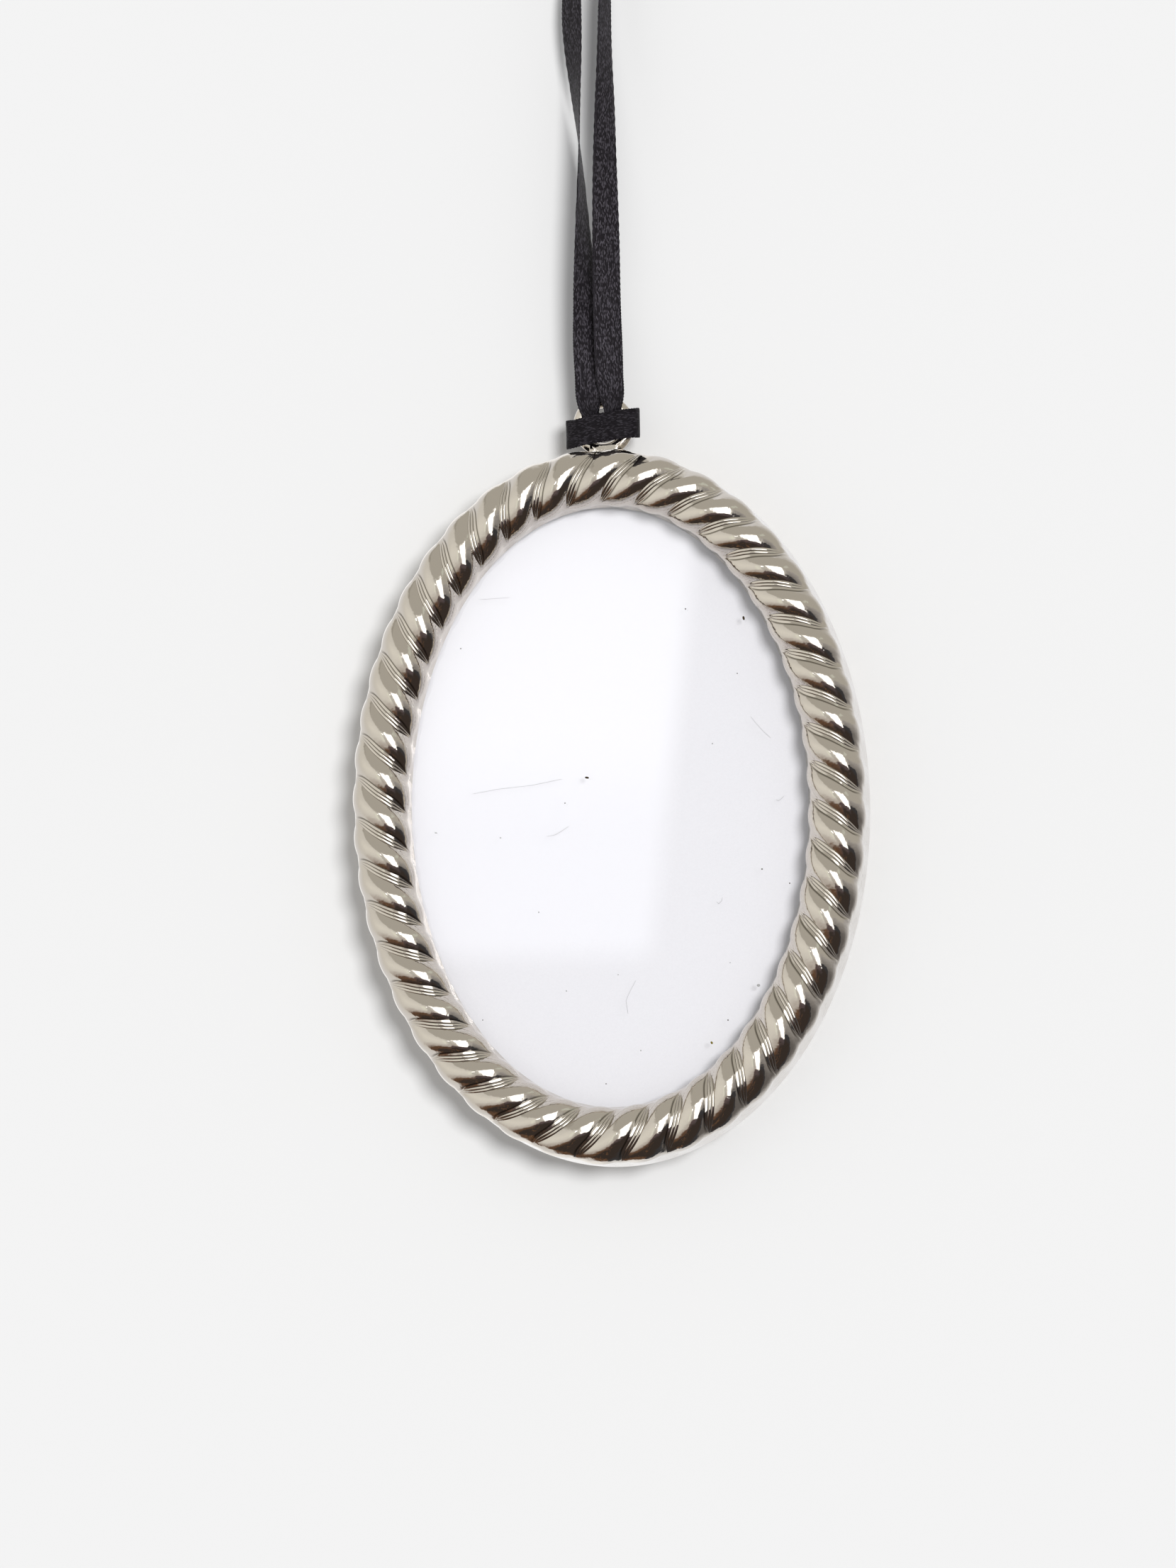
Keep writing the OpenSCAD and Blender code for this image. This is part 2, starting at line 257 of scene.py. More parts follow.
# The wall is only a backdrop: it takes the shadow, and is clear from behind.
wall_gap = 0.05 * mm
wall = bpy.data.objects.new("wall", bpy.data.meshes.new("wall"))
bm = bmesh.new()
bmesh.ops.create_grid(
    bm, x_segments=1, y_segments=1, size=1,
    matrix=Matrix.Translation((0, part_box("frame_casting")[1].y + wall_gap, oval_middle.z))
    @ Matrix.Rotation(math.radians(90), 4, "X"))
bm.to_mesh(wall.data)
bm.free()
bpy.context.scene.collection.objects.link(wall)
plaster = bpy.data.materials.new("white_wall")
plaster.use_nodes = True
tree = plaster.node_tree
tree.nodes.clear()
matt = node(tree, "ShaderNodeBsdfDiffuse", {"Color": grey(0.85)})
clear = node(tree, "ShaderNodeBsdfTransparent")
side = node(tree, "ShaderNodeNewGeometry").outputs["Backfacing"]
shown = node(tree, "ShaderNodeMixShader", {0: side, 1: matt.outputs[0], 2: clear.outputs[0]})
node(tree, "ShaderNodeOutputMaterial", {"Surface": shown.outputs[0]})
wall.data.materials.append(plaster)
wall.visible_diffuse = False
wall.visible_glossy = False
wall.visible_transmission = False
wall.visible_shadow = False


# The casting is the rope-moulded oval with its eye, die-cast in one piece from zinc alloy
# and plated with bright nickel. Smooth round strands alternate with bundles of three thin
# reeds, and both run once round the moulding's front. The back is open for glass and board.
casting_low, casting_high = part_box("frame_casting")
board_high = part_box("back_board")[1]
oval_w = casting_high.x - casting_low.x
oval_h = 2 * (oval_middle.z - casting_low.z)
mould_w = 6.5 * mm
rope_rise = 3 * mm
twists = 44
strand_r = 2.4 * mm
strand_crest = 0.47
reeds = 3
reed_relief = 0.06 * mm
reed_round = 0.5
reed_share = (-0.03, 0.25)
bundle_rise = 0.03 * mm
least_taper = 0.04
edge_bulge = 0.25 * mm
first_groove = 4.05 * mm
sway = 0.045
lag = 0.12
round_power = 1.04
lip_w = 1.4 * mm
lip_t = 1 * mm
rim_w = 1.2 * mm
rim_chamfer = 0.12 * mm
y_foot = casting_low.y + rope_rise
y_lip = y_foot + lip_t
board_play = 0.02 * mm
y_ledge = board_high.y + board_play
y_back = casting_high.y
half_w = mould_w / 2
mid_a = (oval_w - mould_w) / 2
mid_b = (oval_h - mould_w) / 2


def middle_line(angle):
    """A point of the moulding's middle line, from the oval's middle, clockwise from the top."""
    return Vector((mid_a * math.sin(angle), mid_b * math.cos(angle)))


def outward(angle):
    """The way out of the oval at that point."""
    return Vector((mid_b * math.sin(angle), mid_a * math.cos(angle))).normalized()


arc_steps = 1440
arc_lengths = [0.0]
for step in range(arc_steps):
    here = middle_line(math.tau * step / arc_steps)
    ahead = middle_line(math.tau * (step + 1) / arc_steps)
    arc_lengths.append(arc_lengths[-1] + (ahead - here).length)
perimeter = arc_lengths[-1]
pitch = perimeter / twists


def on_casting(distance, offset, y):
    """A point of the casting, by its distance along the middle line and its offset outwards."""
    distance %= perimeter
    step = min(bisect.bisect_right(arc_lengths, distance), arc_steps) - 1
    part = (distance - arc_lengths[step]) / (arc_lengths[step + 1] - arc_lengths[step])
    angle = math.tau * (step + part) / arc_steps
    p = middle_line(angle) + offset * outward(angle)
    return Vector((p.x, y, p.y + oval_middle.z))


def below_crest(part, on_reeds, edge):
    """How far the rope lies below a smooth strand's crest, part of the way over a strand.
    The reeds flatten towards both edges of the moulding, where edge is 1."""
    strand_w = (1 + reed_share[0] - reed_share[1]) * pitch
    behind = (strand_crest * strand_w) ** 2 / 2 / strand_r
    ahead = ((1 - strand_crest) * strand_w) ** 2 / 2 / strand_r
    if on_reeds:
        bundle = ahead - bundle_rise * part - (ahead - behind - bundle_rise) * part ** 12
        relief = reed_relief * (1 - edge ** 3)
        return bundle - relief * abs(math.sin(math.pi * reeds * part)) ** reed_round
    return ((part - strand_crest) * strand_w) ** 2 / 2 / strand_r


reed_lines = 24
smooth_lines = 16


def over_twist(line, edge):
    """Where a line lies in its twist: its share of it, and how far below the crest it is.
    The bundle of reeds comes first, and tapers to a point at both edges of the moulding."""
    taper = max(1 - edge ** 5, least_taper)
    start, end = (share * taper for share in reed_share)
    if line < reed_lines:
        part = line / reed_lines
        share, sunk = start + (end - start) * part, below_crest(part, True, edge)
    else:
        part = (line - reed_lines) / smooth_lines
        share, sunk = end + (1 + start - end) * part, below_crest(part, False, edge)
    near_edge = edge ** 9
    return share, sunk * (1 - near_edge) + min(sunk, edge_bulge) * near_edge


def rope_point(twist, line, row):
    """A point of the rope's round front, where row runs from 0 inside to 1 outside."""
    tilt = math.pi * (row - 0.5)
    share, sunk = over_twist(line, abs(math.sin(tilt)))
    ahead = row - sway * math.sin(math.tau * row) - lag * math.sin(math.pi * row)
    return on_casting(first_groove + pitch * (twist + share + ahead),
                      (half_w - sunk) * math.sin(tilt),
                      y_foot - (rope_rise - sunk) * max(math.cos(tilt), 0) ** round_power)


front_rows = 40
side_rows = 3
rebate_o = -half_w + lip_w
rim_o = half_w - rim_w
back_section = [
    (half_w, y_back - rim_chamfer), (half_w - rim_chamfer, y_back),
    (rim_o + rim_chamfer, y_back), (rim_o, y_back - rim_chamfer),
    (rim_o, y_ledge), (rebate_o, y_ledge), (rebate_o, y_lip), (-half_w, y_lip)]
lines_per_twist = smooth_lines + reed_lines
section_rows = front_rows + side_rows + len(back_section) + 1


def casting_point(column, row):
    """Where a corner of the flat grid goes: round the section and along the oval."""
    twist, line = divmod(column, lines_per_twist)
    if row <= front_rows:
        return rope_point(twist, line, row / front_rows)
    if row == section_rows:
        return rope_point(twist + 1, line, 0)
    share, sunk = over_twist(line, 1)
    distance = first_groove + pitch * (twist + share + 1)
    row -= front_rows
    if row <= side_rows:
        part = row / (side_rows + 1)
        return on_casting(distance, half_w - sunk * (1 - part), y_foot + (y_back - y_foot) * part)
    offset, y = back_section[row - side_rows - 1]
    return on_casting(distance, offset, y)


merge_within = 0.001 * mm


def smooth_faces(mesh, sharp=35):
    """Shades the faces smooth, but for edges that turn by more degrees than this."""
    mesh.shade_smooth()
    mesh.set_sharp_from_angle(angle=math.radians(sharp))


def make_piece(name, bm, sharp=35):
    """Turns a finished bmesh into an object with smooth faces and sharp edges."""
    mesh = bpy.data.meshes.new(name)
    bm.to_mesh(mesh)
    bm.free()
    smooth_faces(mesh, sharp)
    obj = bpy.data.objects.new(name, mesh)
    bpy.context.scene.collection.objects.link(obj)
    return obj


bm = bmesh.new()
bm.loops.layers.uv.new("rope")
columns = twists * lines_per_twist
bmesh.ops.create_grid(bm, x_segments=columns, y_segments=section_rows, size=1, calc_uvs=True)
for v in bm.verts:
    column = round((v.co.x + 1) / 2 * columns)
    row = round((v.co.y + 1) / 2 * section_rows)
    v.co = casting_point(column, row)
bmesh.ops.remove_doubles(bm, verts=bm.verts, dist=merge_within)
bmesh.ops.recalc_face_normals(bm, faces=bm.faces)
casting = make_piece("nickel_frame_casting", bm)

# The eye stands on the oval's top: a ring of round wire on a flat foot. The wire's two
# quarter turns leave its shape alone, but without them the union gives the foot other facets.
eye_middle = Vector((0, 0, -61 * mm))
eye_wire = 1.5 * mm
eye_ring_r = casting_high.z - eye_middle.z - eye_wire / 2
foot_w = 3.2 * mm
foot_overlap = 0.2 * mm
foot_bevel = 0.12 * mm
wire_middle = eye_middle + Vector((eye_ring_r, 0, 0))
bm = bmesh.new()
bmesh.ops.create_circle(
    bm, segments=24, radius=eye_wire / 2,
    matrix=Matrix.Translation(wire_middle) @ Matrix.Rotation(math.radians(90), 4, "X"))
bmesh.ops.rotate(bm, verts=bm.verts, cent=wire_middle,
                 matrix=Matrix.Rotation(math.radians(90), 3, "X"))
bmesh.ops.spin(bm, geom=bm.edges[:], cent=eye_middle, axis=(0, 1, 0), angle=math.tau,
               steps=96, use_merge=True)
bmesh.ops.remove_doubles(bm, verts=bm.verts, dist=merge_within)
bmesh.ops.recalc_face_normals(bm, faces=bm.faces)
eye_ring = make_piece("eye_ring", bm)

bm = bmesh.new()
foot_top = eye_middle.z - eye_ring_r + eye_wire / 2 - foot_overlap
foot_bottom = oval_middle.z + mid_b
bmesh.ops.create_cube(bm, size=1)
bmesh.ops.scale(bm, verts=bm.verts, vec=(foot_w, eye_wire, foot_top - foot_bottom))
bmesh.ops.translate(bm, verts=bm.verts, vec=(0, 0, (foot_top + foot_bottom) / 2))
bmesh.ops.bevel(bm, geom=bm.edges[:], offset=foot_bevel, segments=2, profile=0.5,
                affect="EDGES", material=-1)
eye_foot = make_piece("eye_foot", bm)

# Four blind holes in the ledge take the rivets.
rivet_centres = []
for number in (1, 2, 3, 4):
    low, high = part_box(f"rivet_{number}")
    rivet_centres.append((low + high) / 2)
rivet_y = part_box("rivet_1")[0].y
hole_r = 0.51 * mm
drill_end = y_ledge + 0.5 * mm
bm = bmesh.new()
for centre in rivet_centres:
    depth = drill_end - rivet_y
    bmesh.ops.create_cone(
        bm, cap_ends=True, segments=48, radius1=hole_r, radius2=hole_r, depth=depth,
        matrix=Matrix.Translation((centre.x, rivet_y + depth / 2, centre.z))
        @ Matrix.Rotation(math.radians(90), 4, "X"))
drills = make_piece("rivet_holes", bm)

for tool, operation in ((eye_ring, "UNION"), (eye_foot, "UNION"), (drills, "DIFFERENCE")):
    cut = casting.modifiers.new(tool.name, "BOOLEAN")
    cut.object = tool
    cut.operation = operation
    cut.solver = "MANIFOLD"
bpy.context.view_layer.update()
whole = bpy.data.meshes.new_from_object(
    casting.evaluated_get(bpy.context.evaluated_depsgraph_get()))
casting.modifiers.clear()
casting.data = whole
smooth_faces(casting.data)
for tool in (eye_ring, eye_foot, drills):
    bpy.data.objects.remove(tool)


def surface(name):
    """A new material, its nodes and its Principled BSDF."""
    material = bpy.data.materials.new(name)
    material.use_nodes = True
    return material, material.node_tree, material.node_tree.nodes["Principled BSDF"]


def finish_piece(obj, material, cad_node, body):
    """The piece takes its material and its body, and stands in for its CAD node."""
    obj.data.materials.clear()
    obj.data.materials.append(material)
    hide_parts(cad_node)
    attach(obj, body)


# Metal that has been handled is marked: faint smears and fine scratches, the same on the
# plate, the clips and the rivets.
scratch_depth = 0.002 * mm
handling = bpy.data.node_groups.new("handling_marks", "ShaderNodeTree")
handling.interface.new_socket("Vector", in_out="INPUT", socket_type="NodeSocketVector")
handling.interface.new_socket("Amount", in_out="INPUT", socket_type="NodeSocketFloat")
handling.interface.new_socket("Marks", in_out="OUTPUT", socket_type="NodeSocketFloat")
handling.interface.new_socket("Height", in_out="OUTPUT", socket_type="NodeSocketFloat")
given = node(handling, "NodeGroupInput").outputs
smears = node(handling, "ShaderNodeTexNoise", {"Vector": given["Vector"], "Scale": 220.0})
fine = node(handling, "ShaderNodeTexNoise", {
    "Vector": given["Vector"], "Scale": 2600.0, "Detail": 2.0})
marked = calc(handling, "MULTIPLY", rises(handling, smears.outputs[0], 0.45, 0.7), given["Amount"])
height_m = calc(handling, "MULTIPLY", calc(
    handling, "MULTIPLY", fine.outputs[0], scratch_depth), given["Amount"])
node(handling, "NodeGroupOutput", {"Marks": marked, "Height": height_m})

# Cast pits run in a dotted line across each smooth strand's inner side, the grooves of the reeds
# are painted darker, which is painted shade with some dirt, and the outer side, which the die's
# parting line crosses, is a little rough.
plate_colour = (0.66, 0.615, 0.56, 1)
# Painted shade with some dirt: this darker colour goes into the grooves of the reeds.
groove_dirt_and_shade = (0.2, 0.18, 0.15, 1)
pits_per_strand = 11
pit_depth = 0.05 * mm
speck_depth = 0.018 * mm
swell_depth = 0.02 * mm
nickel, tree, plate = surface("bright_nickel_plate")
place = node(tree, "ShaderNodeTexCoord").outputs["Object"]
marks = node(tree, "ShaderNodeGroup", {"Vector": place, "Amount": 0.6}, node_tree=handling)
uv = node(tree, "ShaderNodeUVMap", uv_map="rope").outputs[0]
split = node(tree, "ShaderNodeSeparateXYZ", {0: uv})
in_twist = calc(tree, "FRACT", calc(tree, "MULTIPLY", split.outputs["X"], float(twists)))
row = calc(tree, "MULTIPLY", split.outputs["Y"], section_rows / front_rows)
first_line = reed_lines / lines_per_twist
on_strand = calc(tree, "DIVIDE", calc(tree, "SUBTRACT", in_twist, first_line), 1 - first_line)
pit_row = calc(tree, "MULTIPLY_ADD", on_strand, 0.19, 0.05)
from_row = calc(tree, "ABSOLUTE", calc(tree, "SUBTRACT", row, pit_row))
dots = calc(tree, "SINE", calc(tree, "MULTIPLY", on_strand, math.tau * pits_per_strand))
pits = calc(tree, "MULTIPLY", rises(tree, from_row, 0.014, 0.004), rises(tree, dots, -0.2, 0.6))
pits = calc(tree, "MULTIPLY", pits, rises(tree, on_strand, 0.02, 0.06))
rough = node(tree, "ShaderNodeTexNoise", {"Vector": place, "Scale": 1500.0, "Detail": 2.0})
on_side = calc(tree, "MULTIPLY", rises(tree, row, 0.96, 1.0), rises(tree, row, 1.1, 1.06))
specks = calc(tree, "MULTIPLY", rises(tree, rough.outputs[0], 0.56, 0.66), on_side)
swell = node(tree, "ShaderNodeTexNoise", {"Vector": place, "Scale": 1900.0, "Detail": 1.0})
relief = calc(tree, "MULTIPLY_ADD", pits, -pit_depth, calc(tree, "MULTIPLY", specks, -speck_depth))
relief = calc(tree, "MULTIPLY_ADD", swell.outputs[0], swell_depth, relief)
relief = calc(tree, "ADD", relief, marks.outputs["Height"])
bump = node(tree, "ShaderNodeBump", {"Height": relief, "Distance": 1.0})
# Painted shade with some dirt: the grooves in each bundle of reeds and the bundle's edges are
# darkened, less so towards the moulding's inner and outer edges.
in_groove = calc(tree, "ABSOLUTE", calc(tree, "SUBTRACT", calc(
    tree, "FRACT", calc(tree, "MULTIPLY_ADD", in_twist, reeds / first_line, 0.5)), 0.5))
dirt_and_groove_shade = calc(tree, "MULTIPLY", rises(tree, in_groove, 0.16, 0.03), rises(
    tree, in_twist, first_line + 0.03, first_line + 0.02))
from_top = calc(tree, "ABSOLUTE", calc(tree, "SUBTRACT", row, 0.5))
dirt_and_groove_shade = calc(tree, "MULTIPLY", dirt_and_groove_shade, rises(tree, from_top, 0.42, 0.24))
set_inputs(tree, plate, {
    "Base Color": blend(tree, dirt_and_groove_shade, plate_colour, groove_dirt_and_shade),
    "Metallic": 1.0, "Roughness": calc(tree, "MULTIPLY_ADD", marks.outputs["Marks"], 0.05, 0.06),
    "Normal": bump.outputs[0]})
finish_piece(casting, nickel, "frame_casting", "frame")

# The glass is an oval pane of clear float glass, laid against the casting's lip from behind.
# It keeps its CAD pane, and light for the card passes it as if it weren't there.
pane = bpy.data.objects["glass"]
float_glass, tree, clear = surface("float_glass")
set_inputs(tree, clear, {"Base Color": grey(1), "Roughness": 0.0, "IOR": 1.45,
                         "Transmission Weight": 1.0})
path = node(tree, "ShaderNodeLightPath")
passes = calc(tree, "MAXIMUM", path.outputs["Is Shadow Ray"], path.outputs["Is Diffuse Ray"])
through = node(tree, "ShaderNodeBsdfTransparent").outputs[0]
mixed = node(tree, "ShaderNodeMixShader", {0: passes, 1: clear.outputs[0], 2: through})
set_inputs(tree, tree.nodes["Material Output"], {"Surface": mixed.outputs[0]})
pane.data.materials.clear()
pane.data.materials.append(float_glass)

# Dust and fibres lie on the glass where they do in the picture. Each grain is a flattened
# ball: its place in picture points, its length, its width and the way it lies.
dust_gap = 0.02 * mm


def on_glass(px):
    """The place on the front of the glass that shows at a point of the picture."""
    through = Vector((px[0] - picture_px[0] / 2, picture_px[1] / 2 - px[1],
                      -camera_distance * px_per_m))
    start = camera.matrix_world.translation
    ray = (camera.matrix_world.to_3x3() @ through).normalized()
    return start + ray * ((glass_low.y - dust_gap - start.y) / ray.y)


dark_grains = [(1049, 872, 6, 3.2, 80), (828, 1097, 6, 3, 10), (967, 859, 2, 2, 0),
               (1040, 950, 2, 1.4, 0), (1075, 1226, 2.4, 2, 0), (1114, 1246, 2, 2, 0),
               (1027, 1439, 2, 2, 0), (855, 1529, 2, 1.4, 0), (650, 915, 2, 1.4, 0),
               (797, 1133, 2, 1.4, 0), (681, 1439, 1.6, 1.4, 0)]
olive_grains = [(1004, 1471, 4.4, 3.2, 60)]
pale_grains = [(1070, 1390, 5, 4, 0), (1005, 1049, 2, 2, 0), (1030, 1358, 2, 1.4, 0),
               (904, 1482, 2, 2, 0), (872, 1375, 2, 1.4, 0), (799, 1398, 2, 2, 0),
               (706, 1182, 2, 2, 0), (760, 1287, 2, 2, 0), (615, 1175, 4, 1.4, 10)]
fibres = [((897, 1383), (888, 1400), (883, 1412), (886, 1430)),
          ((1019, 1266), (1018, 1271), (1014, 1275), (1011, 1272)),
          ((1095, 1128), (1098, 1130), (1102, 1127), (1106, 1123)),
          ((667, 1120), (705, 1113), (750, 1108), (793, 1099)),
          ((771, 1180), (783, 1178), (793, 1172), (802, 1166)),
          ((677, 846), (691, 845), (705, 844), (719, 843)),
          ((1059, 1011), (1067, 1021), (1077, 1032), (1087, 1041))]
grain_flat = 0.5


def dust_piece(name, bm, colour):
    """A piece of dust, which rides with the glass."""
    obj = make_piece(name, bm)
    material, tree, lint = surface(name)
    set_inputs(tree, lint, {"Base Color": colour, "Roughness": 0.9, "Specular IOR Level": 0.2})
    obj.data.materials.append(material)
    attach(obj, "frame")
    return obj


def grain_cloud(name, grains, colour):
    """One mesh of many grains on the glass, of one colour."""
    bm = bmesh.new()
    for x, y, length, width, lie in grains:
        size = Vector((length, width * grain_flat, width, 0)) / px_per_m / 2
        size.w = 1
        bmesh.ops.create_icosphere(
            bm, subdivisions=2, radius=1,
            matrix=Matrix.Translation(on_glass((x, y))) @ Matrix.Rotation(math.radians(lie), 4, "Y")
            @ Matrix.Diagonal(size))
    return dust_piece(name, bm, colour)


grain_cloud("dark_dust", dark_grains, (0.05, 0.035, 0.02, 1))
grain_cloud("olive_dust", olive_grains, (0.2, 0.16, 0.03, 1))
grain_cloud("pale_dust", pale_grains, (0.42, 0.42, 0.42, 1))
bm = bmesh.new()
fibre_r = 0.012 * mm
for fibre in fibres:
    points = [on_glass(px) for px in fibre]
    start = len(bm.verts)
    bmesh.ops.create_grid(bm, x_segments=len(points) - 1, y_segments=6, size=1)
    bm.verts.ensure_lookup_table()
    for v in bm.verts[start:]:
        here = points[round((v.co.x + 1) / 2 * (len(points) - 1))]
        turn = math.pi * (v.co.y + 1)
        v.co = here + Vector((fibre_r * math.cos(turn), 0, fibre_r * math.sin(turn)))
bmesh.ops.remove_doubles(bm, verts=bm.verts, dist=merge_within)
bmesh.ops.recalc_face_normals(bm, faces=bm.faces)
dust_piece("fibres", bm, (0.5, 0.5, 0.5, 1))

# The card is white, smooth and uncoated, with a faint grain. It lies loose between the glass
# and the back board.
card_shade = (0.81, 0.805, 0.845, 1)
card_white = (0.87, 0.865, 0.905, 1)
card = bpy.data.objects["card"]
paper, tree, sheet = surface("white_card")
place = node(tree, "ShaderNodeTexCoord").outputs["Object"]
grain = node(tree, "ShaderNodeTexNoise", {"Vector": place, "Scale": 4500.0, "Detail": 3.0})
tint = blend(tree, grain.outputs[0], card_shade, card_white)
set_inputs(tree, sheet, {"Base Color": tint, "Roughness": 0.9, "Specular IOR Level": 0.2})
card.data.materials.clear()
card.data.materials.append(paper)


# The back board is hardboard under black flocked cloth, and presses the card to the glass.
# It is a copy of the solid, made whole and with its edges rounded.
def whole_copy(node_name, name, rounding=0):
    """A copy of a CAD node with its doubles merged and its sharp edges rounded."""
    bm = bmesh.new()
    bm.from_mesh(bpy.data.objects[node_name].data)
    bmesh.ops.remove_doubles(bm, verts=bm.verts, dist=merge_within)
    bmesh.ops.dissolve_limit(bm, angle_limit=math.radians(1), verts=bm.verts, edges=bm.edges)
    bmesh.ops.recalc_face_normals(bm, faces=bm.faces)
    if rounding:
        sharp = [e for e in bm.edges if e.calc_face_angle(0) > math.radians(50)]
        bmesh.ops.bevel(bm, geom=sharp, offset=rounding, segments=2, profile=0.5,
                        affect="EDGES", material=-1)
    return make_piece(name, bm)


board_rounding = 0.15 * mm
nap_depth = 0.06 * mm
deep_black = (0.016, 0.016, 0.019, 1)
worn_black = (0.05, 0.05, 0.056, 1)
cloth, tree, flock = surface("flocked_cloth")
place = node(tree, "ShaderNodeTexCoord").outputs["Object"]
nap = node(tree, "ShaderNodeTexNoise", {"Vector": place, "Scale": 3500.0, "Detail": 3.0})
lay = node(tree, "ShaderNodeTexNoise", {"Vector": place, "Scale": 90.0, "Detail": 2.0})
shade = calc(tree, "MULTIPLY_ADD", lay.outputs[0], 0.5, calc(
    tree, "MULTIPLY", nap.outputs[0], 0.5))
bump = node(tree, "ShaderNodeBump", {
    "Height": calc(tree, "MULTIPLY", nap.outputs[0], nap_depth), "Distance": 1.0})
set_inputs(tree, flock, {
    "Base Color": blend(tree, shade, deep_black, worn_black),
    "Roughness": 0.95, "Specular IOR Level": 0.1, "Sheen Weight": 0.3,
    "Normal": bump.outputs[0]})
board = whole_copy("back_board", "flocked_board", board_rounding)
finish_piece(board, cloth, "back_board", "frame")


# Four turn clips are blanked from bright steel sheet, and each turns on a round-head rivet
# of nickel-plated steel in the casting's ledge.
def handled_steel(name, colour, amount, least_rough, wear):
    """Bright steel, which handling marks make rougher by up to the wear."""
    steel, tree, face = surface(name)
    place = node(tree, "ShaderNodeTexCoord").outputs["Object"]
    marks = node(tree, "ShaderNodeGroup", {"Vector": place, "Amount": amount}, node_tree=handling)
    bump = node(tree, "ShaderNodeBump", {"Height": marks.outputs["Height"], "Distance": 1.0})
    set_inputs(tree, face, {
        "Base Color": colour, "Metallic": 1.0,
        "Roughness": calc(tree, "MULTIPLY_ADD", marks.outputs["Marks"], wear, least_rough),
        "Normal": bump.outputs[0]})
    return steel


clip_rounding = 0.05 * mm
clip_sheet = handled_steel("blanked_steel", (0.62, 0.61, 0.58, 1), 0.6, 0.26, 0.2)
rivet_wire = handled_steel("nickel_plated_steel", (0.7, 0.69, 0.65, 1), 0.4, 0.16, 0.15)
for number in (1, 2, 3, 4):
    clip = whole_copy(f"clip_{number}", f"steel_clip_{number}", clip_rounding)
    finish_piece(clip, clip_sheet, f"clip_{number}", f"turn_clip_{number}")
    rivet = whole_copy(f"rivet_{number}", f"round_rivet_{number}")
    finish_piece(rivet, rivet_wire, f"rivet_{number}", "frame")

# The ribbon is one closed loop of narrow black satin. It is hitched round the eye, and its
# route is that of the CAD part: each knot has its place from the eye's middle, the way the
# width lies and the share of the full width.
route = [
    ((0, -0.00185, -0.0004), (0, 0, 1), 1),
    ((0.0022, -0.0018, -0.0001), (0, 0, 1), 1),
    ((0.0036, -0.0011, 0.0001), (0, 0, 1), 1),
    ((0.004, 0, 0.0002), (0, 0, 1), 1),
    ((0.0034, 0.001, 0.0001), (0, 0, 1), 0.9),
    ((0.0022, 0.0012, 0), (0, 0, 1), 0.7),
    ((0.0011, 0.0006, 0), (0, 0, 1), 0.6),
    ((0.00075, -0.00065, 0.0001), (0.2, 0.5, 1), 0.4),
    ((0.0011, -0.0013, 0.0016), (1, 0.3, 0.3), 0.6),
    ((0.0011, -0.0013, 0.0032), (1, 0.05, 0), 0.85),
    ((0.0009, -0.0013, 0.0055), (1, 0.2, 0), 0.95),
    ((0.0008, -0.0012, 0.009), (1, 0.35, 0), 1),
    ((0.0007, -0.001, 0.014), (1, 0.45, 0), 1),
    ((0.0007, -0.0008, 0.021), (1, 0.55, 0), 1),
    ((0.0007, -0.0006, 0.029), (1, 0.9, 0), 1),
    ((0.0008, -0.0004, 0.037), (1, 1.5, 0), 1),
    ((0.0009, -0.0002, 0.045), (1, 2.7, 0), 1),
    ((0.0011, -0.0001, 0.051), (0.2, 1, 0), 1),
    ((0.0014, 0, 0.056), (0, 1, 0), 1),
    ((0.0016, 0, 0.0594), (0, 1, 0), 1),
    ((0.0012, 0, 0.0606), (0, 1, 0), 1),
    ((0, 0, 0.0611), (0, 1, 0), 1),
    ((-0.0012, 0, 0.0606), (0, 1, 0), 1),
    ((-0.0016, 0, 0.0594), (0, 1, 0), 1),
    ((-0.0021, 0, 0.056), (-0.1, 1, 0), 1),
    ((-0.0026, 0, 0.0515), (-0.7, 1, 0), 1),
    ((-0.0028, -0.0001, 0.046), (-1.1, 1, 0), 1),
    ((-0.0025, -0.0002, 0.038), (-0.5, 1, 0), 1),
    ((-0.0021, -0.0003, 0.03), (0, 1, 0), 1),
    ((-0.0019, -0.0005, 0.021), (0.5, 1, 0), 1),
    ((-0.0017, -0.0007, 0.014), (1, 0.8, 0), 1),
    ((-0.0016, -0.0008, 0.009), (1, 0.35, 0), 1),
    ((-0.0015, -0.0009, 0.0055), (1, 0.15, 0), 0.95),
    ((-0.0015, -0.00105, 0.0032), (1, 0.05, 0), 0.9),
    ((-0.0014, -0.0011, 0.0016), (1, 0.3, 0.3), 0.7),
    ((-0.0009, -0.0006, 0), (0.3, 0.5, 1), 0.4),
    ((-0.0011, 0.0006, -0.0002), (0, 0, 1), 0.6),
    ((-0.0022, 0.0012, -0.0003), (0, 0, 1), 0.7),
    ((-0.0034, 0.001, -0.0006), (0, 0, 1), 0.9),
    ((-0.0041, 0, -0.0009), (0, 0, 1), 0.95),
    ((-0.0038, -0.0011, -0.0011), (0, 0, 1), 0.95),
    ((-0.0022, -0.0018, -0.0008), (0, 0, 1), 0.95),
]
ribbon_w = 3.3 * mm
ribbon_t = 0.2 * mm
selvedge_bead = 0.33 * mm
bead_notch = 0.05 * mm
thread_relief = 0.03 * mm
steps_per_knot = 31


def along(i, u, k):
    """The smooth curve through the knots, for places, width directions and width shares."""
    a, b, c, d = (route[(i + j) % len(route)][k] for j in (-1, 0, 1, 2))
    if k < 2:
        a, b, c, d = Vector(a), Vector(b), Vector(c), Vector(d)
    return b + (c - a + (2 * a - 5 * b + 4 * c - d + (3 * b - a - 3 * c + d) * u) * u) * (u / 2)


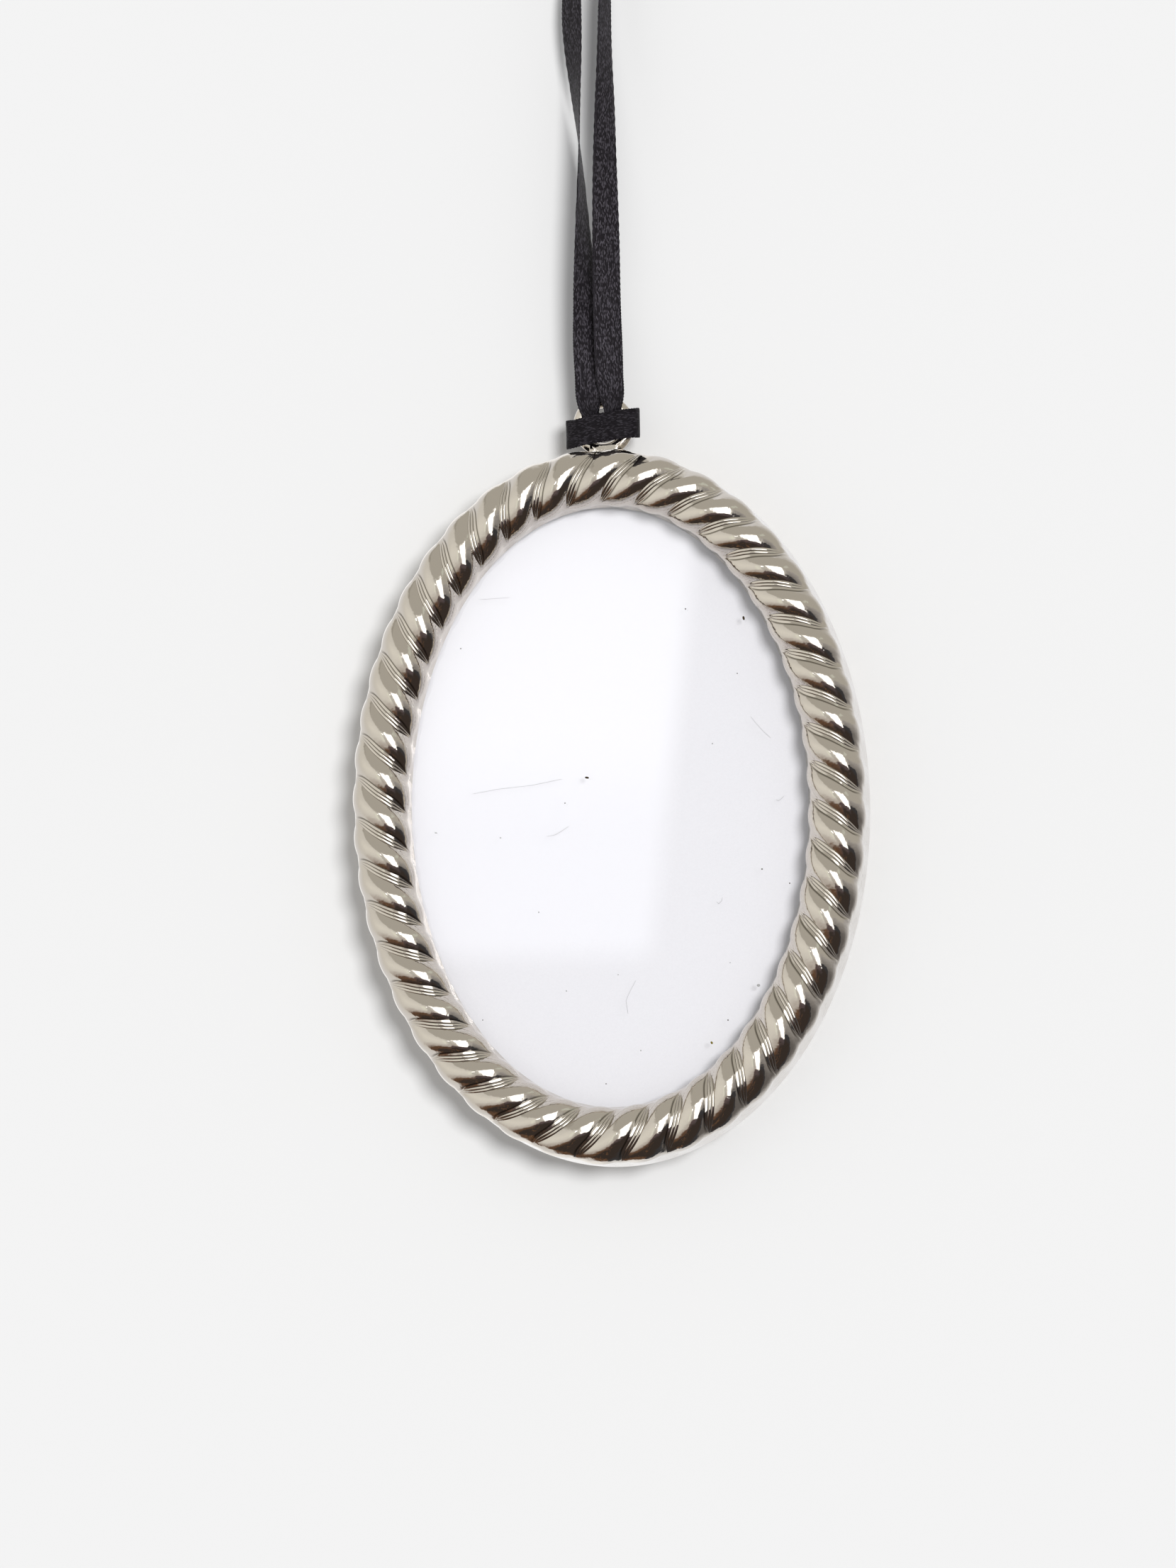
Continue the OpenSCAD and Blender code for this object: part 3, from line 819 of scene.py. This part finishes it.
ribbon_line = []
for i in range(len(route)):
    for k in range(steps_per_knot):
        ribbon_line.append((i, k / steps_per_knot))
line_points = [along(i, u, 0) + eye_middle for i, u in ribbon_line]
ribbon_at = [0.0]
for k in range(len(line_points)):
    step = (line_points[(k + 1) % len(line_points)] - line_points[k]).length
    ribbon_at.append(ribbon_at[-1] + step)
ribbon_length = ribbon_at[-1]
selvedge_pitch = ribbon_length / round(ribbon_length / selvedge_bead)


def ribbon_section(k):
    """The points round the ribbon at one place, with a beaded selvedge on both edges."""
    i, u = ribbon_line[k]
    here = line_points[k]
    ahead = (line_points[(k + 1) % len(line_points)] - line_points[k - 1]).normalized()
    lie = along(i, u, 1)
    across = (lie - lie.dot(ahead) * ahead).normalized()
    up = ahead.cross(across)
    half = ribbon_w / 2 * along(i, u, 2)
    bead = 0.5 + 0.5 * math.cos(math.tau * ribbon_at[k] / selvedge_pitch)
    points = []
    for side, face in around:
        edge = abs(side) > 0.85
        out = side * half - math.copysign(bead_notch * edge * (1 - bead), side)
        thick = face * ribbon_t / 2 * (0.5 + 0.5 * bead if edge else 0.75)
        points.append(here + out * across + thick * up)
    return points


face_places = [1 - k / 6.5 for k in range(14)]
around = ([(side, 0.5 if abs(side) == 1 else 1) for side in face_places]
          + [(side, -0.5 if abs(side) == 1 else -1) for side in reversed(face_places)])
sections = [ribbon_section(k) for k in range(len(line_points))]
bm = bmesh.new()
uv = bm.loops.layers.uv.new("ribbon")
bmesh.ops.create_grid(bm, x_segments=len(sections), y_segments=len(around), size=1)
grid_place = {}
for v in bm.verts:
    k = round((v.co.x + 1) / 2 * len(sections))
    j = round((v.co.y + 1) / 2 * len(around))
    grid_place[v] = (k, j)
    v.co = sections[k % len(sections)][j % len(around)]
for face in bm.faces:
    for loop in face.loops:
        k, j = grid_place[loop.vert]
        turned_over = 0 if j <= len(face_places) else ribbon_w
        loop[uv].uv = (ribbon_at[k], around[j % len(around)][0] * ribbon_w / 2 + turned_over)
bmesh.ops.remove_doubles(bm, verts=bm.verts, dist=merge_within)
bmesh.ops.recalc_face_normals(bm, faces=bm.faces)
ribbon = make_piece("satin_ribbon", bm, sharp=80)

float_shade = (0.012, 0.01, 0.013, 1)
painted_float_sheen = (0.105, 0.096, 0.114, 1)
painted_hitch_shade = (0.005, 0.004, 0.006, 1)
satin, tree, weave = surface("black_satin")
uv = node(tree, "ShaderNodeUVMap", uv_map="ribbon").outputs[0]
split = node(tree, "ShaderNodeSeparateXYZ", {0: uv})
run = calc(tree, "DIVIDE", split.outputs["X"], mm)
wide = calc(tree, "DIVIDE", split.outputs["Y"], mm)
spread = node(tree, "ShaderNodeCombineXYZ", {0: run, 1: wide})
floats = node(tree, "ShaderNodeTexBrick", {
    "Vector": spread.outputs[0], "Color1": grey(0), "Color2": grey(1), "Mortar": grey(0),
    "Scale": 1.0, "Mortar Size": 0.02, "Mortar Smooth": 1.0, "Brick Width": 0.3,
    "Row Height": 0.1}, offset=0.37, squash=1.0)
# Painted sheen: some of the weave's floats are lighter in colour, standing for the satin's glints.
bright = rises(tree, floats.outputs["Color"], 0.4, 1.0)
colour = blend(tree, bright, float_shade, painted_float_sheen)
# Painted shade: the ribbon is painted darker within about 15 mm of the hitch band's middle, where
# it folds round the eye.
from_band = calc(tree, "MINIMUM", run, calc(tree, "SUBTRACT", ribbon_length / mm, run))
hitch_shade_mask = calc(tree, "MULTIPLY", rises(tree, from_band, 15.0, 11.0), 0.6)
colour = blend(tree, hitch_shade_mask, colour, painted_hitch_shade)
bump = node(tree, "ShaderNodeBump", {
    "Height": calc(tree, "MULTIPLY", floats.outputs["Fac"], -thread_relief), "Distance": 1.0})
set_inputs(tree, weave, {"Base Color": colour, "Roughness": 0.5, "Specular IOR Level": 0.15,
                         "Normal": bump.outputs[0]})
finish_piece(ribbon, satin, "ribbon", "frame")

bpy.context.scene.view_settings.view_transform = "Standard"
